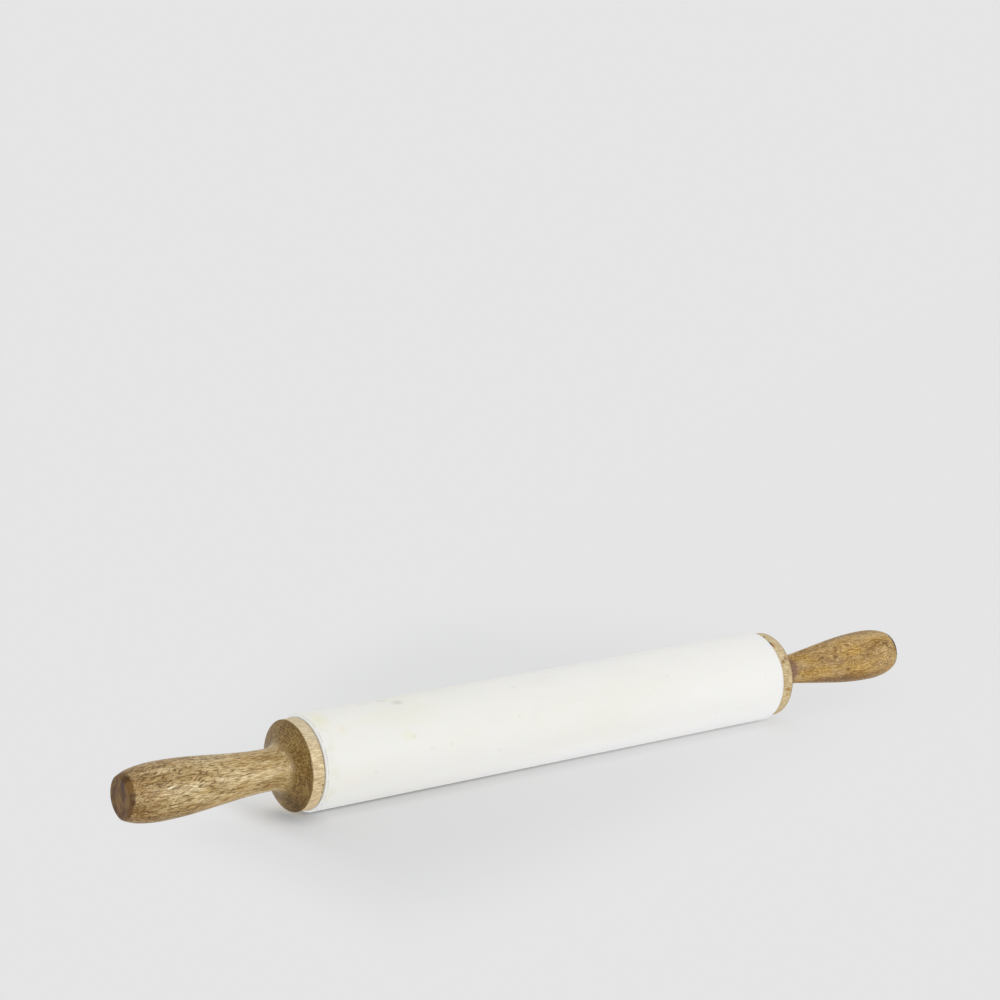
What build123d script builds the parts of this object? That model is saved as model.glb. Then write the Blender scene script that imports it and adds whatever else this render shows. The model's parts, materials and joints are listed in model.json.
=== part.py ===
from build123d import *
from math import cos, radians, sin, tan
import os

os.makedirs("parts", exist_ok=True)

# Marble rolling pin: a stone barrel turns on a steel axle between two turned wooden handles.
# Millimetres. The axle lies along X with the left handle towards -X, and +Z is up.
# The origin is on the axis, in the middle of the barrel.

# Barrel of marble
barrel_radius = 25.0
barrel_length = 305.0
barrel_edge_chamfer = 0.9

# Handles: a flange, a coned face, a cove, a neck and a swelling grip with a flat butt
flange_radius = 23.6
flange_width = 7.2
flange_edge_chamfer = 0.3
flange_face_lean_angle = 20.0
cove_reach = 7.0
grip_length = 94.6
butt_radius = 10.8
butt_edge_chamfer = 0.8
left_neck_radius = 10.7
left_belly_radius = 14.8
right_neck_radius = 8.1
right_belly_radius = 14.3

# Axle of steel, its two tails threaded into the handles' inserts
axle_radius = 5.0
tail_radius = 3.0
tail_overrun = 2.0
tail_chamfer = 0.6
shoulder_inset = 1.0

# Flanged nylon bushes in the barrel's ends
bush_sleeve_radius = 8.0
bush_sleeve_length = 20.0
bush_flange_radius = 13.0
bush_flange_thickness = 2.0
bush_bore_clearance = 0.05
bush_flange_clearance = 0.25

# Thrust washers between the bushes and the wooden flanges
washer_radius = 11.0
washer_thickness = 1.0
washer_bore_clearance = 0.2

# Thin lock nuts
nut_across_flats = 10.0
nut_thickness = 3.2

# Threaded brass inserts, with a driver's slot across the inner end
insert_radius = 4.5
insert_length = 18.0
insert_slot_width = 1.6
insert_slot_depth = 2.0

# Sockets in the handles
recess_clearance = 1.2
socket_end_gap = 3.0

# Running gaps: flange to barrel, and washer to bush
running_gap = 0.3
end_float = 0.15

# Stations along the grips, as shares of their length: where the straight taper starts and ends,
# the widest place of the belly, and the shoulder before the butt. The shoulder's share is how
# much of the belly's height over the butt is left there.
left_station_shares = (0.34, 0.553, 0.776, 0.91)
left_shoulder_share = 0.74
right_station_shares = (0.255, 0.54, 0.82, 0.93)
right_shoulder_share = 0.70

# Places along the axle, counted from the middle
barrel_end = barrel_length / 2
flange_back = barrel_end + running_gap
bush_face = flange_back - washer_thickness - end_float
shoulder_place = flange_back + shoulder_inset
insert_face = shoulder_place + nut_thickness
tail_end = insert_face + insert_length + tail_overrun

# Sizes that follow from their neighbours
bush_seat_depth = barrel_end - bush_face + bush_flange_thickness
recess_depth = insert_face - flange_back
nut_corner_radius = nut_across_flats / 2 / cos(radians(30))
recess_radius = nut_corner_radius + recess_clearance
socket_depth = recess_depth + insert_length + tail_overrun + socket_end_gap

sides = {"left": -1, "right": 1}


def across_axis(side, distance):
    """Plane square to the axle at a distance from the middle, its normal pointing outboard."""
    return Plane(origin=(side * distance, 0, 0), x_dir=(0, 1, 0), z_dir=(side, 0, 0))


def along_axis(side, distance):
    """Plane through the axle, its x running outboard from a distance and its y being the radius."""
    return Plane(origin=(side * distance, 0, 0), x_dir=(side, 0, 0), z_dir=(0, 0, side))


def finish(block, name):
    """Name a piece and write it."""
    block.part.label = name
    export_step(block.part, f"parts/{name}.step")


# Barrel: a cylinder with eased ends, bored through and counterbored for the bushes' flanges
with BuildPart() as barrel:
    with BuildSketch(Plane.YZ):
        Circle(barrel_radius)
    extrude(amount=barrel_end, both=True)
    chamfer(barrel.faces().filter_by(Axis.X).edges(), barrel_edge_chamfer)
    with Locations(Plane.YZ):
        Hole(bush_sleeve_radius)
    for side in sides.values():
        with BuildSketch(across_axis(side, barrel_end)):
            Circle(bush_flange_radius + bush_flange_clearance)
        extrude(amount=-bush_seat_depth, mode=Mode.SUBTRACT)
finish(barrel, "barrel")


# Axle: a rod from shoulder to shoulder, with a thinner tail at each end
with BuildPart() as axle:
    with BuildSketch(Plane.YZ):
        Circle(axle_radius)
    extrude(amount=shoulder_place, both=True)
    with BuildSketch(Plane.YZ):
        Circle(tail_radius)
    extrude(amount=tail_end, both=True)
    tail_rims = axle.faces().filter_by(Axis.X).sort_by(Axis.X)
    chamfer([tail_rims[0].edges(), tail_rims[-1].edges()], tail_chamfer)
finish(axle, "axle")


def flanged_bush(side):
    """Bearing bush: a sleeve inboard of its seat in the counterbore, and a flange outboard."""
    with BuildPart() as bush:
        with BuildSketch(across_axis(side, bush_face)):
            Circle(bush_flange_radius)
        extrude(amount=-bush_flange_thickness)
        with BuildSketch(across_axis(side, bush_face)):
            Circle(bush_sleeve_radius)
        extrude(amount=-bush_flange_thickness - bush_sleeve_length)
        with Locations(across_axis(side, bush_face)):
            Hole(axle_radius + bush_bore_clearance)
    return bush


def thrust_washer(side):
    """Flat ring against the wooden flange."""
    with BuildPart() as washer:
        with BuildSketch(across_axis(side, flange_back)):
            Circle(washer_radius)
            Circle(axle_radius + washer_bore_clearance, mode=Mode.SUBTRACT)
        extrude(amount=-washer_thickness)
    return washer


def lock_nut(side):
    """Thin hexagon nut on the tail, between the axle's shoulder and the insert."""
    with BuildPart() as nut:
        with BuildSketch(across_axis(side, shoulder_place)):
            RegularPolygon(nut_across_flats / 2, side_count=6, major_radius=False)
            Circle(tail_radius, mode=Mode.SUBTRACT)
        extrude(amount=nut_thickness)
    return nut


def threaded_insert(side):
    """Plain-bored sleeve in the handle's socket, slotted for a driver at its inner end."""
    with BuildPart() as insert:
        with BuildSketch(across_axis(side, insert_face)):
            Circle(insert_radius)
            Circle(tail_radius, mode=Mode.SUBTRACT)
        extrude(amount=insert_length)
        with BuildSketch(across_axis(side, insert_face)):
            Rectangle(2 * insert_radius, insert_slot_width)
        extrude(amount=insert_slot_depth, mode=Mode.SUBTRACT)
    return insert


def turned_handle(side, neck_radius, belly_radius, station_shares, shoulder_share):
    """One turning, bored for the nut and the insert.

    Its outline is the flange, the coned face and the cove, then the neck's hollow, a straight
    taper, the rise to the belly, the crown over it and the fall to the butt.
    """
    taper_start, taper_end, widest, shoulder_station = [
        flange_width + share * grip_length for share in station_shares
    ]
    lean = radians(flange_face_lean_angle)
    foot = (flange_width + (flange_radius - neck_radius) * tan(lean), neck_radius)
    cove_start = (foot[0] - cove_reach * sin(lean), foot[1] + cove_reach * cos(lean))
    neck = (foot[0] + cove_reach, neck_radius)

    # An arc that leaves the level climbs half as much as the taper would over the same run
    level_run = (taper_start - neck[0]) / 2 + (taper_end - taper_start) + (widest - taper_end) / 2
    slope = (belly_radius - neck_radius) / level_run
    hollow_end = (taper_start, neck_radius + slope * (taper_start - neck[0]) / 2)
    rise_start = (taper_end, belly_radius - slope * (widest - taper_end) / 2)
    belly = (widest, belly_radius)
    shoulder = (shoulder_station, butt_radius + shoulder_share * (belly_radius - butt_radius))
    grip_end = flange_width + grip_length

    with BuildPart() as handle:
        with BuildSketch(along_axis(side, flange_back)) as half_profile:
            with BuildLine():
                Polyline(
                    (0, 0),
                    (0, flange_radius),
                    (flange_width, flange_radius),
                    cove_start,
                )
                Bezier(cove_start, foot, neck)
                TangentArc(neck, hollow_end, tangent=(1, 0))
                taper = Line(hollow_end, rise_start)
                TangentArc(rise_start, belly, tangent=taper % 1)
                crown = TangentArc(belly, shoulder, tangent=(1, 0))
                TangentArc(shoulder, (grip_end, butt_radius), tangent=crown % 1)
                Polyline((grip_end, butt_radius), (grip_end, 0), (0, 0))
            make_face()
            chamfer(half_profile.vertices().group_by(Axis.Y)[-1], flange_edge_chamfer)
            butt_corner = half_profile.vertices().group_by(Axis.X)[-1].sort_by(Axis.Y)[-1]
            chamfer(butt_corner, butt_edge_chamfer)
        revolve(axis=Axis.X)
        with Locations(across_axis(-side, -flange_back)):
            CounterBoreHole(
                radius=insert_radius,
                counter_bore_radius=recess_radius,
                counter_bore_depth=recess_depth,
                depth=socket_depth,
            )
    return handle


for name, side in sides.items():
    finish(flanged_bush(side), f"bush_{name}")
    finish(thrust_washer(side), f"washer_{name}")
    finish(lock_nut(side), f"locknut_{name}")
    finish(threaded_insert(side), f"insert_{name}")

handle_left = turned_handle(
    sides["left"], left_neck_radius, left_belly_radius, left_station_shares, left_shoulder_share
)
finish(handle_left, "handle_left")

handle_right = turned_handle(
    sides["right"], right_neck_radius, right_belly_radius, right_station_shares, right_shoulder_share
)
finish(handle_right, "handle_right")
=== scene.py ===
import json
import math

import bpy
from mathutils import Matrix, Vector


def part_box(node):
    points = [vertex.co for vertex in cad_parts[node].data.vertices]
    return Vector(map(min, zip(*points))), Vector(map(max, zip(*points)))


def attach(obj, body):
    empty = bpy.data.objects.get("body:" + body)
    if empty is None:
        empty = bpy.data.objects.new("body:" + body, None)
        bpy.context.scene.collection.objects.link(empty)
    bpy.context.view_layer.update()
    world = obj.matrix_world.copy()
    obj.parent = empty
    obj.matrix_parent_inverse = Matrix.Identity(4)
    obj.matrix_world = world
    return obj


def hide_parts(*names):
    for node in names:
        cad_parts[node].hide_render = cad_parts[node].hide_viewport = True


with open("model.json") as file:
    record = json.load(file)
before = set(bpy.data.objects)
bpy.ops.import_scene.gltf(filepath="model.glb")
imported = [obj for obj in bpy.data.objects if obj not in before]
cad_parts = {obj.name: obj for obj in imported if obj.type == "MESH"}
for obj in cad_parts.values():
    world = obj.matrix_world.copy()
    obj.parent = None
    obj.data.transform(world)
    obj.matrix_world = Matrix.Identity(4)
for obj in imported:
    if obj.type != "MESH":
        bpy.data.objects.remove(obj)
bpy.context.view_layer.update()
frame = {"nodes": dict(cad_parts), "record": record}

# Marble rolling pin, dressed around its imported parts. Metres, in the frame of the parts: the axle
# lies along X, the origin is in the middle of the barrel, and +Z is up. The materials and the
# floor's shading count in millimetres, and "outboard" is the distance along X from the middle.

MM = 0.001

# Camera, fitted to the outline of the pin in the photograph
CAMERA_PLACE = (-0.8305, -1.0980, 0.3707)
CAMERA_AZIMUTH = math.radians(53.837)
CAMERA_PITCH = math.radians(10.380)
CAMERA_LENS_MM = 95.166
CAMERA_CLIP_START = 0.05
SENSOR_MM = 36.0

# Light: a dome that is a little dimmer overhead, two lamps that shape, and two strips that only
# put gloss on the grips and in the left flange's cove. Azimuth, elevation and spread in degrees.
# Only the rays named last see the backdrop and the floor's shading
DOME_HORIZON = 0.87
DOME_ZENITH = 0.80
BACKDROP = 0.7835
LAMPS = {
    "broad_right": {"level": 0.37, "azimuth": -68, "elevation": 13, "spread": 42, "gloss": False},
    "small_left": {"level": 0.20, "azimuth": -104, "elevation": 28, "spread": 15, "gloss": False},
    "strip_grips": {"level": 1.80, "azimuth": -66, "elevation": 6, "spread": 30, "gloss": True},
    "strip_cove": {"level": 2.80, "azimuth": -136, "elevation": 3, "spread": 22, "gloss": True},
}
SEEN_RAYS = ("Is Camera Ray", "Is Glossy Ray", "Is Transmission Ray")

# Floor: half its width in metres, its paint, and the cooler paint beside the flanges, which cancels
# the warm light that the wood bounces onto the floor
FLOOR_HALF_SIZE = 80.0
FLOOR_COLOUR = (0.868, 0.872, 0.877)
FLOOR_ROUGHNESS = 0.9
FLOOR_COOL = (0.845, 0.870, 0.902)
COOL_START = (148.0, 162.0)
COOL_ACROSS = (60.0, 20.0)

# The paint takes the shadows, and a plain glow mixed into it thins them. The glow's share is low
# beside the barrel, high beyond its ends, and whole outside the shadow that the photograph shows,
# whose front and back edges lie aslant. Bounced light gets the glow alone, with a gain
FLOOR_GLOW = 0.7835
GLOW_SHARE = (0.36, 0.93)
GLOW_LEFT = (-168.0, -188.0)
GLOW_RIGHT = (130.0, 175.0)
FADE_FRONT = (45.0, 162.0)
FADE_FRONT_LEAN = 0.36
FADE_BEHIND = (170.0, 290.0)
FADE_BEHIND_LEAN = 0.70
FADE_LEFT = (-185.0, -245.0)
BOUNCE_GAIN = 1.10

# Painted shadow on the floor: it dims in front of the barrel, most to the left, and behind it, most
# to the right. It dims again near the barrel and most at the line of contact, which only the seen
# rays find. Each has its shares at the left and right end of a span, and the distances across where
# it is 0 and 1
DIMS = {
    "front": {"shares": (0.080, 0.018), "span": (-150.0, 150.0), "reach": (300.0, 60.0)},
    "behind": {"shares": (0.0, 0.050), "span": (-110.0, 60.0), "reach": (400.0, 120.0)},
    "contact": {"shares": (0.46, 0.36), "span": (-150.0, 150.0), "reach": (10.0, 3.0)},
    "near": {"shares": (0.19, 0.09), "span": (-150.0, 150.0), "reach": (25.0, 4.0)},
}
DIM_CROSSING = 30.0
DIM_ENDS = (330.0, 150.0)
CONTACT_ENDS = (160.0, 145.0)

# A bluish shade on the floor under the left flange
FLANGE_SHADE_PLACE = (-159.0, -5.0, -25.0)
FLANGE_SHADE_SIZE = (17.0, 24.0, 10.0)
FLANGE_SHADE = 0.26
FLANGE_SHADE_COLOUR = (0.795, 0.870, 0.985)

# Turned skins: their mesh, and the fine rings of the gouge on the flanges' faces
SKIN_SEGMENTS = 224
HANDLE_ROW_STEP = 0.7 * MM
BARREL_ROW_STEP = 6.0 * MM
RING_SPACING = 0.25 * MM
SHARP_ANGLE = math.radians(32)
ON_AXIS = 1e-7
RIPPLE_DEPTH = 0.012 * MM
RIPPLE_PITCH = 0.9 * MM
RIPPLE_REACH = 16.0 * MM

# What tells a handle's rings apart: the socket's are thinner than this, the rim's are within the
# tolerance of the flange's radius
SOCKET_LIMIT = 7.5 * MM
RIM_TOLERANCE = 0.05 * MM

# Marble: its colours, linear, and where they lie in millimetres. The edge's stretches count from
# the corner where the barrel's edge is eased
MARBLE_WHITE = (0.880, 0.876, 0.850)
MARBLE_WARM = (0.868, 0.855, 0.800)
MARBLE_GREY = (0.800, 0.802, 0.792)
# Grey for the line at the edge, and for the painted shade on the end face
MARBLE_EDGE_LINE_AND_SHADE = (0.700, 0.710, 0.655)
MARBLE_EASED = (0.970, 0.968, 0.955)
MARBLE_STAIN = (0.790, 0.790, 0.640)
MARBLE_YELLOW = (0.850, 0.845, 0.760)
MARBLE_BRIGHT = (0.900, 0.893, 0.868)
MARBLE_SPECK = (0.640, 0.640, 0.600)
# Painted light on the underside
MARBLE_UNDERLIGHT = (0.955, 0.950, 0.935)
YELLOW_ALONG = (10.0, -110.0)
YELLOW_UP = (0.0, 22.0)
BRIGHT_ALONG = (20.0, 150.0)
# Where the underside's painted light lies, along and down
LOW_ALONG = (-150.0, 20.0)
LOW_DOWN = (-5.0, -21.0)
STAIN_ALONG = (0.0, -10.0)
STAIN_REACH = (-9.0, -0.5)
EDGE_LINE_START = (-0.7, -0.15)
EDGE_LINE_STOP = (0.35, 0.15)
EASED_REACH = (0.2, 0.4)
# Where the end face's painted shade lies
END_FACE_SHADE_REACH = (-0.15, -0.05)
VEIN_BEND = (60.0, 60.0, 60.0)
MARBLE_DEPTH = 5.0 * MM
MARBLE_SCATTER = (1.0, 0.93, 0.80)

# Wood: stretches along a handle in millimetres, counted outboard from the rim's end or the butt
PLAIN_REACH = (10.0, 34.0)
FACE_REACH = (9.0, 21.0)
RIM_SHARE_REACH = (0.25, 0.6)
BURNT_REACH = (-0.6, 0.0)
PORE_REACH = (-40.0, -18.0)
END_TINT_REACH = (-22.0, -3.0)
BUTT_REACH = (-0.9, 0.7)
FACE_EDGE_RADII = (21.5, 28.0)
FACE_NECK_RADII = (-0.5, 4.0)
# Heights where the rim's painted shade lies
RIM_TOP_UP = (8.0, 22.0)
RIM_LOW_DOWN = (0.0, -16.0)
ARC_SHAKE = (2.4, 2.4, 2.4)

# Hardware, linear
STEEL = (0.55, 0.56, 0.57)
PLATED_STEEL = (0.62, 0.63, 0.63)
BRASS = (0.71, 0.52, 0.24)
METAL_SHADE = 0.86
NYLON_DARK = (0.78, 0.77, 0.72)
NYLON_LIGHT = (0.84, 0.83, 0.79)


def rings(node):
    """The (distance from the middle, radius) pairs of a turned part's vertices, in metres."""
    pairs = set()
    for vertex in frame["nodes"][node].data.vertices:
        x, y, z = vertex.co
        pairs.add((round(abs(x), 6), round(math.hypot(y, z), 6)))
    return sorted(pairs)


# Places read from the frame
barrel_low, barrel_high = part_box("barrel")
handle_low, handle_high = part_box("handle_right")
BARREL_END = barrel_high.x
BARREL_RADIUS = max(r for x, r in rings("barrel"))
BARREL_ROUND_END = max(x for x, r in rings("barrel") if r == BARREL_RADIUS)
FLANGE_BACK = handle_low.x
BUTT_PLACE = handle_high.x
FLANGE_RADIUS = max(r for x, r in rings("handle_right"))
RIM_END = max(x for x, r in rings("handle_right") if r > FLANGE_RADIUS - RIM_TOLERANCE)
SHOULDER_PLACE = min(abs(corner.x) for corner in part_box("locknut_right"))
FLOOR_HEIGHT = barrel_low.z


def filled(profile, step):
    """The profile with points put in so that no stretch is longer than the step."""
    dense = [profile[0]]
    for (x0, r0), (x1, r1) in zip(profile, profile[1:]):
        count = max(1, math.ceil(math.hypot(x1 - x0, r1 - r0) / step))
        for i in range(1, count + 1):
            t = i / count
            dense.append((x0 + t * (x1 - x0), r0 + t * (r1 - r0)))
    return dense


def lathe(name, profile, closed, side=1):
    """A mesh turned about X from (distance, radius) points; a point on the axis is one vertex."""
    vertices, rows = [], []
    for x, r in profile:
        if r < ON_AXIS:
            rows.append([len(vertices)])
            vertices.append((side * x, 0.0, 0.0))
            continue
        rows.append([len(vertices) + i for i in range(SKIN_SEGMENTS)])
        for i in range(SKIN_SEGMENTS):
            turn = 2 * math.pi * i / SKIN_SEGMENTS
            vertices.append((side * x, r * math.cos(turn), r * math.sin(turn)))
    pairs = list(zip(rows, rows[1:])) + ([(rows[-1], rows[0])] if closed else [])
    faces = []
    for a, b in pairs:
        for i in range(SKIN_SEGMENTS):
            j = (i + 1) % SKIN_SEGMENTS
            if len(a) == 1:
                face = (a[0], b[j], b[i])
            elif len(b) == 1:
                face = (a[i], a[j], b[0])
            else:
                face = (a[i], a[j], b[j], b[i])
            faces.append(face if side > 0 else face[::-1])
    mesh = bpy.data.meshes.new(name)
    mesh.from_pydata(vertices, [], faces)
    mesh.validate()
    mesh.shade_smooth()
    mesh.set_sharp_from_angle(angle=SHARP_ANGLE)
    piece = bpy.data.objects.new(name, mesh)
    bpy.context.scene.collection.objects.link(piece)
    return piece


def handle_profile(node):
    """Half outline of a handle, from the socket's end round the flange and grip to the butt."""
    outer = {}
    inner = []
    for x, r in rings(node):
        if r < SOCKET_LIMIT:
            inner.append((x, r))
        else:
            outer.setdefault(x, []).append(r)
    recess_radius = max(r for x, r in inner)
    bore_radius = min(r for x, r in inner if r > 0)
    recess_floor = max(x for x, r in inner if r == recess_radius)
    socket_end = max(x for x, r in inner)
    outline = [(x, max(radii)) for x, radii in sorted(outer.items())]
    spaced = [outline[0]]
    for point in outline[1:-1]:
        if math.dist(point, spaced[-1]) > RING_SPACING:
            spaced.append(point)
    spaced.append(outline[-1])
    socket = [
        (socket_end, 0.0),
        (socket_end, bore_radius),
        (recess_floor, bore_radius),
        (recess_floor, recess_radius),
        (FLANGE_BACK, recess_radius),
    ]
    return filled(socket + spaced + [(BUTT_PLACE, 0.0)], HANDLE_ROW_STEP)


def rippled(profile):
    """The profile with the fine rings that a gouge leaves on the flange's face and in the cove."""
    out = []
    for x, r in profile:
        depth = 0
        if RIM_END < x < RIM_END + RIPPLE_REACH and r > SOCKET_LIMIT:
            depth = RIPPLE_DEPTH * (0.5 + 0.5 * math.sin(2 * math.pi * r / RIPPLE_PITCH))
        out.append((x - depth, r))
    return out


def barrel_profile():
    """Closed half section of the barrel, with its bore and the seats of the bushes' flanges."""
    pairs = rings("barrel")
    end = max(x for x, r in pairs)
    bore = min(r for x, r in pairs)
    seat = min(r for x, r in pairs if x == end)
    seat_floor = max(x for x, r in pairs if r == bore)
    face_edge = max(r for x, r in pairs if x == end)
    half = [
        (seat_floor, bore),
        (seat_floor, seat),
        (BARREL_END, seat),
        (BARREL_END, face_edge),
        (BARREL_ROUND_END, BARREL_RADIUS),
    ]
    mirrored = [(-x, r) for x, r in reversed(half)]
    return filled(half + mirrored + [half[0]], BARREL_ROW_STEP)[:-1]


class Shader:
    """A material, and short calls that add nodes to it; each call returns an output socket."""

    def __init__(self, name):
        self.material = bpy.data.materials.new(name)
        self.material.use_nodes = True
        self.tree = self.material.node_tree
        self.bsdf = self.tree.nodes["Principled BSDF"]
        metres = self.add("ShaderNodeTexCoord").outputs["Object"]
        self.place = self.vector("MULTIPLY", metres, (1 / MM,) * 3)
        self.x, self.y, self.z = self.parts(self.place)
        self.outboard = self.math("ABSOLUTE", self.x)
        self.radius = self.vector("LENGTH", self.vector("MULTIPLY", self.place, (0, 1, 1)))

    def add(self, kind, inputs=None, **settings):
        node = self.tree.nodes.new(kind)
        for key, value in settings.items():
            setattr(node, key, value)
        for key, value in (inputs or {}).items():
            self.feed(node.inputs[key], value)
        return node

    def feed(self, socket, value):
        if isinstance(value, bpy.types.NodeSocket):
            self.tree.links.new(value, socket)
        else:
            socket.default_value = value

    def set(self, **values):
        for key, value in values.items():
            self.feed(self.bsdf.inputs[key.replace("_", " ")], value)

    def math(self, operation, *values, clamp=False):
        inputs = dict(enumerate(values))
        return self.add("ShaderNodeMath", inputs, operation=operation, use_clamp=clamp).outputs[0]

    def vector(self, operation, *values):
        node = self.add("ShaderNodeVectorMath", dict(enumerate(values)), operation=operation)
        return node.outputs["Value" if operation in ("LENGTH", "DISTANCE") else "Vector"]

    def parts(self, vector):
        return self.add("ShaderNodeSeparateXYZ", {0: vector}).outputs

    def joined(self, x, y, z):
        return self.add("ShaderNodeCombineXYZ", {0: x, 1: y, 2: z}).outputs[0]

    def noise(self, vector, scale, shift=0.0, detail=3.0, roughness=0.55, colour=False):
        """Noise whose grain is 1/scale millimetres along each axis."""
        shifts = (shift, 1.7 * shift, 2.3 * shift)
        scaled = self.vector("MULTIPLY_ADD", vector, scale, shifts)
        inputs = {"Vector": scaled, "Scale": 1.0, "Detail": detail, "Roughness": roughness}
        return self.add("ShaderNodeTexNoise", inputs).outputs["Color" if colour else 0]

    def times(self, first, *others):
        for other in others:
            first = self.math("MULTIPLY", first, other)
        return first

    def total(self, first, *others):
        for other in others:
            first = self.math("ADD", first, other)
        return first

    def largest(self, first, *others):
        for other in others:
            first = self.math("MAXIMUM", first, other)
        return first

    def rest(self, share):
        """What a share leaves of 1."""
        return self.math("SUBTRACT", 1.0, share)

    def between(self, share, low, high):
        """The low value at a share of 0 and the high one at 1."""
        return self.math("MULTIPLY_ADD", share, high - low, low)

    def step(self, value, low, high):
        """0 at low, 1 at high, smooth between them; high may be the smaller number."""
        inputs = {"Value": value, "From Min": low, "From Max": high}
        node = self.add("ShaderNodeMapRange", inputs, interpolation_type="SMOOTHSTEP")
        return node.outputs[0]

    def past(self, value, start, reach):
        """A step between two places that count from a start."""
        return self.step(value, start + reach[0], start + reach[1])

    def ridge(self, value, sharpness):
        """1 where the value is 0.5, falling to 0 on both sides."""
        off = self.math("ABSOLUTE", self.math("SUBTRACT", value, 0.5))
        return self.math("SUBTRACT", 1.0, self.times(off, sharpness), clamp=True)

    def blend(self, share, a, b, how="MIX"):
        node = self.add("ShaderNodeMix", data_type="RGBA", blend_type=how)
        self.feed(node.inputs[0], share)
        for socket, value in ((node.inputs[6], a), (node.inputs[7], b)):
            is_socket = isinstance(value, bpy.types.NodeSocket)
            self.feed(socket, value if is_socket else (*value, 1.0))
        return node.outputs[2]

    def tint(self, colour, by):
        return self.blend(1.0, colour, by, "MULTIPLY")

    def ramp(self, value, stops):
        node = self.add("ShaderNodeValToRGB", {0: value})
        elements = node.color_ramp.elements
        while len(elements) < len(stops):
            elements.new(0.5)
        for element, (at, colour) in zip(elements, stops):
            element.position = at
            element.color = (*colour, 1.0)
        return node.outputs[0]

    def spot(self, place, size, core=0.80):
        """1 at a place and 0 beyond the sizes along X, Y and Z, with a ragged edge."""
        offset = self.vector("DIVIDE", self.vector("SUBTRACT", self.place, place), size)
        ragged = self.times(self.noise(self.place, (0.9, 0.9, 0.9), 3.0), 0.7)
        return self.step(self.total(self.vector("LENGTH", offset), ragged), 1.35, core)

    def spotted(self, colour, spots):
        """The colour with spots over it, each a place, sizes, a colour and a strength."""
        for place, size, tone, strength in spots:
            colour = self.blend(self.times(self.spot(place, size), strength), colour, tone)
        return colour

    def bump(self, height, strength, distance):
        inputs = {"Height": height, "Strength": strength, "Distance": distance}
        self.set(Normal=self.add("ShaderNodeBump", inputs).outputs[0])


def marble():
    """Honed marble: clouds, faint veins, the near side's marks, a stain, a line at the edge,
    painted shade on the end face and painted light underneath.
    """
    m = Shader("marble_honed")
    drift = m.noise(m.place, (0.006, 0.012, 0.012), 3.1, detail=2, colour=True)
    bent = m.vector("MULTIPLY_ADD", drift, VEIN_BEND, m.place)
    clouds = m.noise(m.place, (0.011, 0.03, 0.03), 8.4, detail=4)
    streaks = m.noise(bent, (0.02, 0.09, 0.05), 1.2, detail=5, roughness=0.6)
    vein = m.ridge(streaks, 26.0)
    where = m.step(m.noise(m.place, (0.009, 0.02, 0.02), 5.0, detail=2), 0.52, 0.66)
    colour = m.blend(m.step(clouds, 0.42, 0.7), MARBLE_WHITE, MARBLE_WARM)
    yellow = m.times(m.step(m.x, *YELLOW_ALONG), m.step(m.z, *YELLOW_UP))
    yellow = m.times(yellow, m.step(clouds, 0.60, 0.36))
    colour = m.blend(m.times(yellow, 0.8), colour, MARBLE_YELLOW)
    colour = m.blend(m.times(m.step(m.x, *BRIGHT_ALONG), 0.7), colour, MARBLE_BRIGHT)
    colour = m.blend(m.times(vein, where, 0.3), colour, MARBLE_GREY)
    for place, size, tone, strength in MARBLE_BLOTCHES:
        colour = m.blend(m.times(m.spot(place, size, core=0.1), strength), colour, tone)
    crystals = m.noise(m.place, (1.1, 1.1, 1.1), 2.0, detail=2)
    colour = m.blend(m.times(m.step(crystals, 0.5, 0.75), 0.06), colour, MARBLE_GREY)

    corner = BARREL_ROUND_END / MM
    stain = m.step(m.noise(m.place, (0.15, 0.16, 0.16), 21.0, detail=3), 0.44, 0.62)
    stained = m.times(stain, m.past(m.outboard, corner, STAIN_REACH), m.step(m.x, *STAIN_ALONG))
    colour = m.blend(m.times(stained, 0.55), colour, MARBLE_STAIN)
    faint = m.step(m.noise(m.place, (0.1, 0.25, 0.25), 9.0), 0.35, 0.6)
    line = m.times(
        m.past(m.outboard, corner, EDGE_LINE_START), m.past(m.outboard, corner, EDGE_LINE_STOP)
    )
    colour = m.blend(m.times(line, faint, 0.85), colour, MARBLE_EDGE_LINE_AND_SHADE)
    colour = m.blend(m.past(m.outboard, corner, EASED_REACH), colour, MARBLE_EASED)
    # Painted shade on the end face, in the gap beside the flange
    end_face_shade = m.past(m.outboard, BARREL_END / MM, END_FACE_SHADE_REACH)
    colour = m.blend(m.times(end_face_shade, 0.6), colour, MARBLE_EDGE_LINE_AND_SHADE)

    specks = m.step(m.noise(m.place, (0.30, 0.40, 0.40), 14.0, detail=2), 0.70, 0.77)
    colour = m.blend(m.times(specks, 0.30), colour, MARBLE_SPECK)
    # Painted light: the underside is lighter
    low = m.times(m.step(m.z, *LOW_DOWN), m.step(m.x, *LOW_ALONG), 0.9)
    colour = m.blend(low, colour, MARBLE_UNDERLIGHT)
    m.set(Base_Color=colour, Roughness=m.math("MULTIPLY_ADD", crystals, 0.12, 0.48))
    m.set(Specular_IOR_Level=0.12, Subsurface_Weight=0.6)
    m.set(Subsurface_Radius=MARBLE_SCATTER, Subsurface_Scale=MARBLE_DEPTH)
    m.bump(crystals, 0.05, 0.05 * MM)
    return m.material


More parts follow.
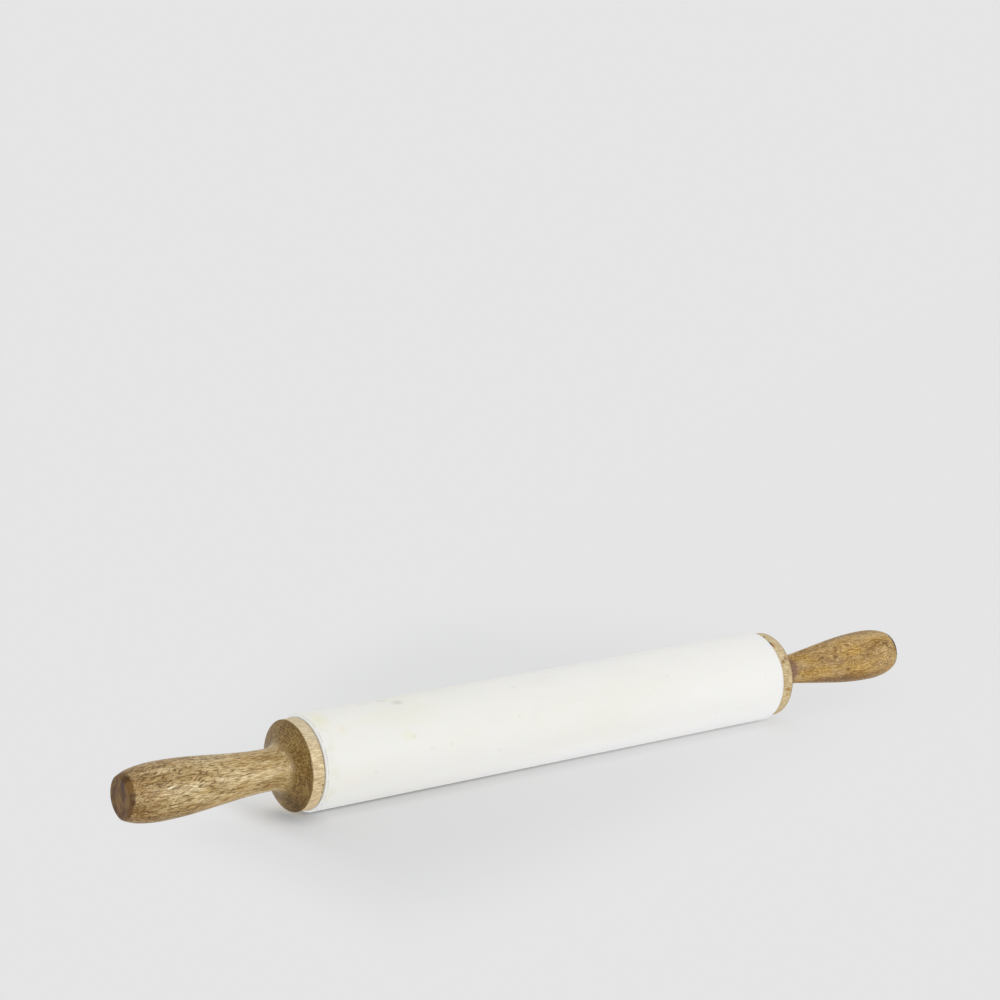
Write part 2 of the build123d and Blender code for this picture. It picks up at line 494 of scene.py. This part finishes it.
def grain(m, look):
    """The oiled wood's colour with painted shade, its figure, and the share of its dark lines,
    flecks and pores.
    """
    shift, fine = look["shift"], look["fineness"]
    wander = m.noise(m.place, (0.022, 0.05, 0.05), shift, detail=2, colour=True)
    bent = m.vector("MULTIPLY_ADD", wander, (0, look["swirl"], look["swirl"]), m.place)
    curl = m.noise(m.place, (0.16, 0.35, 0.35), shift + 6, detail=1, colour=True)
    curly = m.vector("MULTIPLY_ADD", curl, (0, look["curl"], look["curl"]), bent)
    bands = m.noise(bent, (0.012, 0.16, 0.16), shift + 1, detail=3)
    streak_scale = (0.09 * fine, 0.95 * fine, 0.95 * fine)
    streaks = m.noise(curly, streak_scale, shift + 2, detail=5, roughness=0.7)
    fibres = m.noise(bent, (0.20, 2.2, 2.2), shift + 3, detail=3)
    figure = m.total(m.times(bands, 0.6), m.times(streaks, 0.75), m.times(fibres, 0.75))
    figure = m.step(figure, 0.80, 1.30)
    colour = m.ramp(figure, look["tones"])
    patches = m.step(m.noise(m.place, (0.06, 0.13, 0.13), shift + 22, detail=3), 0.42, 0.62)
    patches = m.times(patches, look["patch_strength"])
    colour = m.blend(patches, colour, m.tint(colour, look["patch_tint"]))

    # Painted shade, darker at the top and warmer underneath, its edges wandering with the grain's
    # bands
    level = m.math("MULTIPLY_ADD", bands, 16.0, m.math("SUBTRACT", m.z, 8.0))
    top = m.times(m.step(level, 5.0, 13.0), 0.55)
    colour = m.blend(top, colour, m.tint(colour, look["top_shade_tint"]))
    low = m.times(m.step(level, 0.0, -9.0), 0.70)
    colour = m.blend(low, colour, m.tint(colour, look["underside_shade_tint"]))

    lines = m.step(m.noise(curly, (0.14, 1.45, 1.45), shift + 4, detail=2), 0.545, 0.61)
    broken = m.step(m.noise(bent, (0.12, 0.3, 0.3), shift + 5, detail=2), 0.38, 0.54)
    x, y, z = m.parts(curly)
    slanted = m.joined(x, y, m.math("MULTIPLY_ADD", x, -look["slant"], z))
    flecks = m.step(m.noise(slanted, (0.26, 0.95, 0.95), shift + 7, detail=2), 0.555, 0.62)
    fleck_zone = m.step(m.noise(m.place, (0.03, 0.08, 0.08), shift + 8, detail=1), 0.42, 0.56)
    pores = m.step(m.noise(m.place, (1.0, 2.2, 2.2), shift + 9, detail=1), 0.58, 0.66)
    pore_zone = m.past(m.outboard, BUTT_PLACE / MM, PORE_REACH)
    end_zone = m.times(m.past(m.outboard, BUTT_PLACE / MM, END_TINT_REACH), look["end_strength"])
    colour = m.blend(end_zone, colour, m.tint(colour, look["end_tint"]))
    dark = m.largest(
        m.times(lines, broken, look["line_strength"]),
        m.times(flecks, fleck_zone, look["fleck_strength"]),
        m.times(pores, pore_zone, look["pore_strength"]),
    )

    # The neck is plainer than the grip
    plain = m.math("MULTIPLY_ADD", m.past(m.outboard, RIM_END / MM, PLAIN_REACH), 0.6, 0.4)
    dark = m.times(dark, plain)
    return m.blend(dark, colour, look["dark_tone"]), figure, dark


def flange_face(m, colour, look):
    """The face and the cove: end grain, crossed by the gouge's fine rings, darkest near the rim."""
    shift = look["shift"]
    turn = m.math("ARCTAN2", m.z, m.times(m.y, -1.0))
    polar = m.joined(m.radius, turn, 0.0)
    turned = m.noise(polar, (1.5, 5.0, 0.0), shift + 13, detail=1)
    spokes = m.noise(polar, (0.3, 22.0, 0.0), shift + 12, detail=2)
    cells = m.noise(m.place, (0.9, 1.9, 1.9), shift + 23, detail=1)
    mottle = m.total(m.times(turned, 0.35), m.times(spokes, 0.45), m.times(cells, 0.35))
    face = m.blend(m.step(mottle, 0.46, 0.72), look["face_dark"], look["face_light"])
    broad = m.step(m.noise(m.place, (0.05, 0.12, 0.12), shift + 24, detail=2), 0.40, 0.62)
    face = m.blend(m.times(broad, 0.55), face, m.tint(face, look["face_shade"]))
    edge = m.step(m.math("MULTIPLY_ADD", cells, 6.0, m.radius), *FACE_EDGE_RADII)
    face = m.blend(m.times(edge, 0.45), face, look["face_edge"])
    ragged = m.times(m.noise(m.place, (0.1, 0.7, 0.7), shift + 14), 7.0)
    share = m.rest(m.past(m.total(m.outboard, ragged), RIM_END / MM, FACE_REACH))
    share = m.times(share, m.past(m.radius, look["neck"], FACE_NECK_RADII))
    return m.blend(share, colour, face)


def end_grain(m, colour, look):
    """The dark butt, whose tone runs ragged over the corner."""
    shift = look["shift"]
    across = m.vector("MULTIPLY", m.place, (0, 1, 1))
    growth = m.noise(across, (0, 0.22, 0.16), shift + 15, detail=4)
    cells = m.noise(across, (0, 2.0, 2.0), shift + 16, detail=2)
    tone = m.blend(m.step(growth, 0.36, 0.62), look["butt_dark"], look["butt_light"])
    tone = m.blend(m.times(m.step(cells, 0.48, 0.66), 0.45), tone, look["butt_dark"])
    tone = m.spotted(tone, look["butt_spots"])
    ragged = m.times(m.noise(m.place, (0.5, 0.9, 0.9), shift + 17), 3.4)
    reach = m.total(m.outboard, ragged, m.times(m.z, 0.10))
    return m.blend(m.past(reach, BUTT_PLACE / MM, BUTT_REACH), colour, tone)


def sanded_rim(m, colour, look):
    """The bare rim, with fine straight grain and painted shade at its top and bottom; returns the
    colour and the rim's share.
    """
    shift = look["shift"]
    broad = m.noise(m.place, (0.20, 0.35, 0.35), shift + 18, detail=3)
    fine = m.noise(m.place, (0.30, 2.4, 2.4), shift + 19, detail=2)
    figure = m.step(m.total(m.times(broad, 0.35), m.times(fine, 0.75)), 0.36, 0.76)
    tone = m.ramp(figure, look["rim_tones"])
    threads = m.step(m.noise(m.place, (0.22, 1.8, 1.8), shift + 25, detail=2), 0.55, 0.62)
    tone = m.blend(m.times(threads, 0.45), tone, m.tint(tone, look["thread_tint"]))
    # Painted shade at the rim's top and bottom
    tone = m.blend(m.times(m.step(m.z, *RIM_TOP_UP), 0.5), tone, look["rim_top_shade"])
    tone = m.blend(m.times(m.step(m.z, *RIM_LOW_DOWN), 0.4), tone, look["rim_low_shade"])
    specks = m.step(m.noise(m.place, (0.7, 1.1, 1.1), shift + 20, detail=2), 0.60, 0.70)
    tone = m.blend(m.times(specks, look["speck_strength"]), tone, look["speck_tone"])
    tone = m.spotted(tone, look["rim_spots"])
    ragged = m.times(m.noise(m.place, (0.5, 0.8, 0.8), shift + 21), 0.9)
    share = m.rest(m.past(m.total(m.outboard, ragged), RIM_END / MM, RIM_SHARE_REACH))
    burnt = m.past(m.outboard, RIM_END / MM, BURNT_REACH)
    tone = m.blend(m.times(burnt, 0.5), tone, look["face_light"])
    return m.blend(share, colour, tone), share


def curled(m, colour, arcs):
    """The colour with curved lines, each round a middle, in a spot, at a pitch in millimetres."""
    for middle, place, size, pitch, tone, strength in arcs:
        shaken = m.noise(m.place, (0.25, 0.25, 0.25), 5.0, colour=True)
        shaken = m.vector("MULTIPLY_ADD", shaken, ARC_SHAKE, m.place)
        phase = m.times(m.vector("DISTANCE", shaken, middle), 2 * math.pi / pitch)
        lines = m.step(m.math("SINE", phase), 0.1, 0.9)
        colour = m.blend(m.times(lines, m.spot(place, size, core=0.1), strength), colour, tone)
    return colour


def wood(name, look):
    """Turned wood: oiled grip and face with streaks and pores, a sanded rim and dark end grain, and
    painted highlights and shade.
    """
    m = Shader(name)
    colour, figure, dark = grain(m, look)
    # Dark marks, and painted shade in a cove
    colour = m.spotted(colour, look["grip_marks_and_shade"])
    colour = curled(m, colour, look["arcs"])
    colour = flange_face(m, colour, look)
    colour = end_grain(m, colour, look)
    # Painted highlights and shade, with a few dark marks, tinted over the colour
    for place, size, by, strength in look["marks_and_painted_light"]:
        shade = m.times(m.spot(place, size, core=0.1), strength)
        colour = m.blend(shade, colour, m.tint(colour, by))
    colour, on_rim = sanded_rim(m, colour, look)
    rough = m.total(0.40, m.times(figure, -0.06), m.times(dark, 0.15), m.times(on_rim, 0.30))
    m.set(Base_Color=colour, Roughness=rough, Specular_IOR_Level=look["gloss"])
    height = m.math("SUBTRACT", m.times(figure, 0.35), dark)
    m.bump(height, 0.30, 0.10 * MM)
    return m.material


def metal(name, colour, roughness, scale, threads_from=None):
    """Metal: fine rings, and a thread's ridges beyond a distance from the middle."""
    m = Shader(name)
    fine_rings = m.noise(m.place, scale, 4.0, detail=3)
    shaded = [channel * METAL_SHADE for channel in colour]
    m.set(
        Base_Color=m.blend(m.step(fine_rings, 0.35, 0.65), colour, shaded),
        Metallic=1.0,
        Roughness=m.math("MULTIPLY_ADD", fine_rings, 0.16, roughness - 0.08),
    )
    height = m.math("MULTIPLY", fine_rings, 0.05)
    if threads_from:
        ridge = m.math("ABSOLUTE", m.math("SUBTRACT", m.math("FRACT", m.x), 0.5))
        threaded = m.math("GREATER_THAN", m.outboard, threads_from / MM)
        height = m.math("MULTIPLY_ADD", ridge, threaded, height)
    m.bump(height, 0.6, 0.3 * MM)
    return m.material


def nylon():
    """Natural nylon, faintly mottled."""
    m = Shader("nylon_natural")
    mottle = m.noise(m.place, (0.4, 0.4, 0.4), 6.0, detail=4)
    m.set(
        Base_Color=m.blend(mottle, NYLON_DARK, NYLON_LIGHT),
        Roughness=m.math("MULTIPLY_ADD", mottle, 0.12, 0.40),
    )
    m.bump(mottle, 0.1, 0.1 * MM)
    return m.material


# The two woods: colours and tints, linear. Spots, and the marks and painted light, are a place,
# sizes along X, Y and Z, a colour or tint, and a strength; an arc has its middle before the place
# and its pitch after
LEFT_LOOK = {
    "shift": 11.0,
    "swirl": 3.0,
    "curl": 0.8,
    "slant": 0.42,
    "gloss": 0.22,
    "end_strength": 0.75,
    "end_tint": (0.70, 0.60, 0.50),
    "thread_tint": (0.74, 0.64, 0.50),
    "fineness": 1.25,
    "patch_strength": 0.5,
    "patch_tint": (0.90, 0.77, 0.56),
    "neck": 10.7,
    "tones": [
        (0.0, (0.26, 0.158, 0.050)),
        (0.45, (0.53, 0.385, 0.175)),
        (1.0, (0.84, 0.710, 0.440)),
    ],
    # Painted shade at the top and underneath
    "top_shade_tint": (0.76, 0.69, 0.62),
    "underside_shade_tint": (0.74, 0.63, 0.43),
    "line_strength": 0.85,
    "fleck_strength": 0.85,
    "pore_strength": 0.75,
    "dark_tone": (0.120, 0.062, 0.014),
    "face_dark": (0.132, 0.072, 0.013),
    "face_light": (0.400, 0.265, 0.090),
    "face_shade": (0.78, 0.70, 0.54),
    "face_edge": (0.165, 0.092, 0.022),
    "butt_dark": (0.082, 0.034, 0.006),
    "butt_light": (0.200, 0.104, 0.024),
    "butt_spots": [((-254.6, -2.4, 7.2), (3.0, 1.6, 3.6), (0.060, 0.026, 0.018), 0.9)],
    "rim_tones": [
        (0.0, (0.46, 0.325, 0.160)),
        (0.5, (0.70, 0.555, 0.330)),
        (1.0, (0.90, 0.770, 0.510)),
    ],
    # Painted shade at the rim's top and bottom
    "rim_top_shade": (0.62, 0.540, 0.390),
    "rim_low_shade": (0.66, 0.480, 0.270),
    "speck_tone": (0.30, 0.190, 0.085),
    "speck_strength": 0.12,
    "rim_spots": [
        ((-153.7, -22.9, -5.5), (0.7, 0.7, 0.7), (0.08, 0.05, 0.03), 0.9),
        ((-153.5, -21.6, -9.5), (0.6, 0.7, 0.6), (0.08, 0.05, 0.03), 0.9),
        ((-156.2, -23.3, -4.0), (1.1, 1.1, 0.8), (0.42, 0.27, 0.12), 0.6),
    ],
    "grip_marks_and_shade": [],
    "marks_and_painted_light": [
        # Painted highlights along the middle of the grip
        ((-231.0, -14.5, 2.5), (22.0, 9.0, 5.5), (1.22, 1.27, 1.42), 0.9),
        ((-197.0, -11.5, 1.0), (15.0, 7.0, 4.0), (1.10, 1.13, 1.20), 0.8),
        # Darker at the top near the butt, and a small dark streak
        ((-247.0, -6.0, 9.0), (9.0, 7.0, 4.0), (0.80, 0.74, 0.66), 0.8),
        ((-228.5, -11.0, 9.2), (4.0, 3.0, 1.3), (0.62, 0.56, 0.50), 0.8),
        # Painted shade along the grip's underside and on the face's lowest part
        ((-218.0, -12.0, -9.0), (40.0, 12.0, 4.5), (0.80, 0.74, 0.66), 0.8),
        ((-161.5, -9.0, -19.0), (14.0, 18.0, 15.0), (0.52, 0.48, 0.42), 0.95),
        # A painted highlight in the cove
        ((-166.5, -11.0, 2.0), (4.0, 5.0, 6.0), (1.30, 1.32, 1.45), 0.9),
    ],
    "arcs": [],
}

RIGHT_LOOK = {
    "shift": 37.0,
    "swirl": 20.0,
    "curl": 5.0,
    "slant": 0.15,
    "gloss": 0.10,
    "end_strength": 0.55,
    "end_tint": (1.16, 1.18, 1.22),
    "thread_tint": (0.78, 0.66, 0.46),
    "fineness": 1.5,
    "patch_strength": 0.75,
    "patch_tint": (1.04, 0.95, 0.60),
    "neck": 8.1,
    "tones": [
        (0.0, (0.22, 0.122, 0.040)),
        (0.5, (0.45, 0.292, 0.116)),
        (1.0, (0.70, 0.510, 0.250)),
    ],
    # Painted shade at the top and underneath
    "top_shade_tint": (0.96, 0.94, 0.92),
    "underside_shade_tint": (0.74, 0.62, 0.54),
    "line_strength": 0.40,
    "fleck_strength": 0.30,
    "pore_strength": 0.35,
    "dark_tone": (0.095, 0.045, 0.014),
    "face_dark": (0.120, 0.062, 0.018),
    "face_light": (0.350, 0.215, 0.078),
    "face_shade": (0.72, 0.66, 0.52),
    "face_edge": (0.110, 0.062, 0.022),
    "butt_dark": (0.062, 0.032, 0.010),
    "butt_light": (0.185, 0.110, 0.045),
    "butt_spots": [],
    "rim_tones": [
        (0.0, (0.40, 0.270, 0.120)),
        (0.5, (0.60, 0.465, 0.262)),
        (1.0, (0.80, 0.665, 0.430)),
    ],
    # Painted shade at the rim's top and bottom
    "rim_top_shade": (0.66, 0.540, 0.350),
    "rim_low_shade": (0.62, 0.500, 0.290),
    "speck_tone": (0.34, 0.210, 0.090),
    "speck_strength": 0.85,
    "rim_spots": [
        ((154.2, -12.6, 19.9), (1.7, 2.4, 1.9), (0.46, 0.21, 0.07), 0.85),
        ((153.6, -11.0, 20.9), (1.2, 2.6, 2.0), (0.08, 0.035, 0.015), 0.95),
        ((154.9, -4.2, 23.2), (1.0, 1.2, 1.2), (0.06, 0.035, 0.02), 0.9),
        ((156.6, -23.3, -3.5), (2.2, 2.2, 1.7), (0.38, 0.20, 0.045), 0.85),
        ((156.5, -22.6, -6.8), (1.3, 1.6, 1.1), (0.46, 0.27, 0.07), 0.75),
        ((157.5, -19.3, 13.4), (1.4, 1.8, 1.3), (0.30, 0.19, 0.10), 0.8),
        ((155.3, -20.1, 12.2), (1.4, 1.6, 1.2), (0.27, 0.17, 0.09), 0.8),
        ((157.0, -20.0, 6.5), (2.2, 3.0, 2.6), (0.48, 0.34, 0.16), 0.6),
        ((158.6, -16.5, 14.0), (1.8, 2.6, 2.2), (0.36, 0.23, 0.10), 0.7),
        ((155.2, -21.0, 3.0), (1.3, 1.6, 1.3), (0.40, 0.25, 0.11), 0.6),
        ((158.0, -23.0, 2.0), (2.0, 2.2, 3.2), (0.76, 0.62, 0.36), 0.7),
        ((155.6, -22.0, -10.0), (1.6, 1.8, 2.2), (0.74, 0.58, 0.30), 0.7),
    ],
    "grip_marks_and_shade": [
        ((204.8, -10.2, 5.5), (2.4, 1.8, 1.5), (0.14, 0.075, 0.024), 0.65),
        ((213.2, -12.5, -2.4), (2.0, 1.6, 1.2), (0.14, 0.075, 0.024), 0.65),
        ((244.6, -11.2, 8.4), (3.4, 1.0, 0.45), (0.10, 0.050, 0.016), 0.85),
        ((245.4, -12.0, 6.9), (3.0, 1.0, 0.40), (0.12, 0.062, 0.020), 0.80),
        ((246.4, -12.2, 5.6), (2.2, 1.0, 0.40), (0.14, 0.075, 0.025), 0.70),
        # Painted shade in the cove, between the flange's back and the neck
        ((173.5, -7.9, 1.8), (6.0, 12.0, 12.0), (0.20, 0.105, 0.085), 0.7),
    ],
    "marks_and_painted_light": [
        # Painted light on the grip's upper half
        ((216.0, -8.0, 7.5), (34.0, 12.0, 8.5), (1.34, 1.33, 1.28), 0.9),
        ((240.0, -12.0, 3.0), (10.0, 8.0, 7.0), (1.22, 1.24, 1.28), 0.9),
        ((234.0, -9.0, 9.5), (12.0, 8.0, 6.0), (1.35, 1.38, 1.40), 0.9),
        # Painted shade on the grip's lower half
        ((196.0, -8.0, -9.0), (36.0, 12.0, 9.0), (0.62, 0.58, 0.58), 0.9),
        ((224.0, -10.0, -11.0), (34.0, 12.0, 9.0), (0.66, 0.62, 0.64), 0.9),
    ],
    "arcs": [
        (
            (228.0, -11.4, 4.0),
            (222.5, -12.0, 6.0),
            (6.0, 6.0, 5.0),
            1.6,
            (0.20, 0.110, 0.034),
            0.65,
        ),
    ],
}

# Marks on the marble's near side: a place, sizes, a colour and a strength
MARBLE_BLOTCHES = [
    ((-101.2, -22.3, 11.2), (6.5, 6.5, 4.0), (0.866, 0.840, 0.700), 0.80),
    ((-98.6, -22.6, 10.4), (2.4, 2.2, 1.8), (0.710, 0.680, 0.550), 0.45),
    ((-137.5, -16.6, 18.7), (5.0, 5.0, 4.0), (0.858, 0.818, 0.680), 0.80),
    ((-146.5, -7.5, 23.3), (9.5, 11.0, 7.0), (0.840, 0.820, 0.620), 0.85),
    ((-97.4, -5.6, 24.3), (5.5, 4.0, 2.4), (0.590, 0.590, 0.545), 0.70),
    ((-103.5, 0.0, 25.0), (5.5, 4.0, 2.4), (0.660, 0.665, 0.630), 0.55),
    ((-114.8, 0.6, 25.0), (6.0, 4.0, 2.4), (0.730, 0.735, 0.705), 0.45),
    ((-89.0, -24.8, 3.2), (2.0, 2.0, 1.6), (0.740, 0.735, 0.660), 0.45),
    ((-76.6, -24.8, 3.3), (2.4, 2.4, 1.8), (0.770, 0.765, 0.640), 0.45),
    ((-123.3, -24.7, -3.6), (1.5, 1.5, 1.2), (0.640, 0.640, 0.600), 0.45),
    ((-45.8, -24.4, -5.1), (1.6, 1.6, 1.3), (0.660, 0.655, 0.600), 0.45),
    ((-27.0, -10.2, 22.8), (2.8, 2.0, 2.0), (0.740, 0.738, 0.710), 0.40),
    ((30.2, -21.7, -12.3), (2.0, 1.6, 1.6), (0.700, 0.695, 0.660), 0.40),
    ((71.0, -19.2, 16.0), (1.6, 1.4, 1.4), (0.720, 0.715, 0.680), 0.40),
]


# Pieces
barrel = lathe("barrel_marble", barrel_profile(), closed=True)
barrel.data.materials.append(marble())
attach(barrel, "barrel")
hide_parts("barrel")

woods = {
    "left": wood("wood_left_oiled", LEFT_LOOK),
    "right": wood("wood_right_oiled", RIGHT_LOOK),
}
for name, side in (("left", -1), ("right", 1)):
    profile = rippled(handle_profile(f"handle_{name}"))
    handle = lathe(f"handle_{name}_wood", profile, closed=False, side=side)
    handle.data.materials.append(woods[name])
    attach(handle, "handles")
    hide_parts(f"handle_{name}")

hardware = {
    "steel": metal("steel_ground", STEEL, 0.30, (0.05, 3.0, 3.0), SHOULDER_PLACE),
    "plated_steel": metal("steel_plated", PLATED_STEEL, 0.34, (0.6, 0.6, 0.6)),
    "nylon": nylon(),
    "brass": metal("brass_turned", BRASS, 0.32, (2.5, 0.2, 0.2)),
}
for subpart in frame["record"]["subparts"]:
    if subpart["material_slot"] in hardware:
        slots = frame["nodes"][subpart["node"]].data.materials
        slots.clear()
        slots.append(hardware[subpart["material_slot"]])


def dim(m, name, across):
    """A share of dimming that changes along the barrel and fades with the distance across."""
    settings = DIMS[name]
    along = m.step(m.x, *settings["span"])
    return m.times(m.between(along, *settings["shares"]), m.step(across, *settings["reach"]))


def floor_material():
    """Paint that takes the shadows, mixed with a glow that thins them; both carry painted shadows.
    """
    m = Shader("floor_pale")
    rays = m.add("ShaderNodeLightPath").outputs
    seen = m.largest(*(rays[kind] for kind in SEEN_RAYS))
    bounced = m.rest(seen)
    toward = m.times(m.y, -1.0)
    across = m.math("ABSOLUTE", m.y)

    # 1 inside the photographed shadow, and everywhere for bounced light
    beyond = m.largest(
        m.step(m.math("MULTIPLY_ADD", m.x, FADE_FRONT_LEAN, toward), *FADE_FRONT),
        m.step(m.math("MULTIPLY_ADD", m.x, -FADE_BEHIND_LEAN, m.y), *FADE_BEHIND),
        m.step(m.x, *FADE_LEFT),
    )
    shaded = m.rest(m.times(beyond, seen))

    # Painted broad shadow in front and behind
    front = m.times(dim(m, "front", toward), m.step(m.y, DIM_CROSSING, -DIM_CROSSING))
    behind = m.times(dim(m, "behind", m.y), m.step(m.y, -DIM_CROSSING, DIM_CROSSING))
    dimmed = m.times(m.total(front, behind), m.step(m.outboard, *DIM_ENDS), shaded)

    # Painted close shadow at the contact and under the left flange
    close = m.total(dim(m, "contact", across), dim(m, "near", across))
    close = m.times(close, m.step(m.outboard, *CONTACT_ENDS))
    offset = m.vector("SUBTRACT", m.place, FLANGE_SHADE_PLACE)
    offset = m.vector("DIVIDE", offset, FLANGE_SHADE_SIZE)
    under_flange = m.step(m.vector("LENGTH", offset), 1.0, 0.0)
    close = m.total(close, m.times(under_flange, FLANGE_SHADE))
    kept = m.times(m.rest(dimmed), m.rest(m.times(close, seen)))

    # Cooler paint beside the flanges, against the warm light that the wood bounces
    cool = m.times(m.step(m.outboard, *COOL_START), m.step(across, *COOL_ACROSS))
    paint = m.blend(cool, FLOOR_COLOUR, FLOOR_COOL)
    paint = m.blend(under_flange, paint, FLANGE_SHADE_COLOUR)
    paint = m.blend(kept, (0.0, 0.0, 0.0), paint)
    m.set(Base_Color=paint, Roughness=FLOOR_ROUGHNESS, Specular_IOR_Level=0.0)

    ends = m.largest(m.step(m.x, *GLOW_LEFT), m.step(m.x, *GLOW_RIGHT))
    share = m.rest(m.times(m.rest(m.between(ends, *GLOW_SHARE)), shaded))
    share = m.largest(share, bounced)
    strength = m.times(kept, m.between(bounced, 1.0, BOUNCE_GAIN), FLOOR_GLOW)
    glow = m.add("ShaderNodeEmission", {"Color": (1.0, 1.0, 1.0, 1.0), "Strength": strength})
    mixed = m.add("ShaderNodeMixShader", {0: share, 1: m.bsdf.outputs[0], 2: glow.outputs[0]})
    m.feed(m.tree.nodes["Material Output"].inputs["Surface"], mixed.outputs[0])

    # Rays find the glow by themselves; aimed at so wide a floor, they leave a dark patch beside it
    m.material.cycles.emission_sampling = "NONE"
    return m.material


def floor():
    size = FLOOR_HALF_SIZE
    corners = [(-size, -size), (size, -size), (size, size), (-size, size)]
    mesh = bpy.data.meshes.new("floor")
    mesh.from_pydata([(x, y, FLOOR_HEIGHT) for x, y in corners], [], [(0, 1, 2, 3)])
    mesh.materials.append(floor_material())
    plane = bpy.data.objects.new("floor", mesh)
    bpy.context.scene.collection.objects.link(plane)


def dome():
    """World light that dims towards the zenith, and the plain backdrop for the seen rays."""
    world = bpy.data.worlds.new("dome")
    bpy.context.scene.world = world
    world.use_nodes = True
    nodes, links = world.node_tree.nodes, world.node_tree.links
    direction = nodes.new("ShaderNodeSeparateXYZ")
    links.new(nodes.new("ShaderNodeTexCoord").outputs["Generated"], direction.inputs[0])
    level = nodes.new("ShaderNodeMapRange")
    level.inputs["To Min"].default_value = DOME_HORIZON
    level.inputs["To Max"].default_value = DOME_ZENITH
    links.new(direction.outputs["Z"], level.inputs["Value"])
    rays = nodes.new("ShaderNodeLightPath").outputs
    seen = rays[SEEN_RAYS[0]]
    for kind in SEEN_RAYS[1:]:
        either = nodes.new("ShaderNodeMath")
        either.operation = "MAXIMUM"
        links.new(seen, either.inputs[0])
        links.new(rays[kind], either.inputs[1])
        seen = either.outputs[0]
    strength = nodes.new("ShaderNodeMix")
    strength.inputs[3].default_value = BACKDROP
    links.new(seen, strength.inputs[0])
    links.new(level.outputs[0], strength.inputs[2])
    background = nodes["Background"]
    background.inputs["Color"].default_value = (1.0, 1.0, 1.0, 1.0)
    links.new(strength.outputs[0], background.inputs["Strength"])


def lamps():
    for name, settings in LAMPS.items():
        lamp = bpy.data.lights.new(name, "SUN")
        lamp.energy = settings["level"]
        lamp.angle = math.radians(settings["spread"])
        holder = bpy.data.objects.new(name, lamp)
        bpy.context.scene.collection.objects.link(holder)
        holder.rotation_euler = (
            math.radians(90 - settings["elevation"]),
            0,
            math.radians(90 + settings["azimuth"]),
        )
        holder.visible_diffuse = not settings["gloss"]
        holder.visible_glossy = settings["gloss"]


def camera():
    eye = bpy.data.cameras.new("camera")
    eye.sensor_width = SENSOR_MM
    eye.lens = CAMERA_LENS_MM
    eye.clip_start, eye.clip_end = CAMERA_CLIP_START, 2 * FLOOR_HALF_SIZE
    holder = bpy.data.objects.new("camera", eye)
    bpy.context.scene.collection.objects.link(holder)
    holder.location = CAMERA_PLACE
    holder.rotation_euler = (math.pi / 2 - CAMERA_PITCH, 0, CAMERA_AZIMUTH - math.pi / 2)
    bpy.context.scene.camera = holder


floor()
dome()
lamps()
camera()
bpy.context.scene.view_settings.view_transform = "Standard"
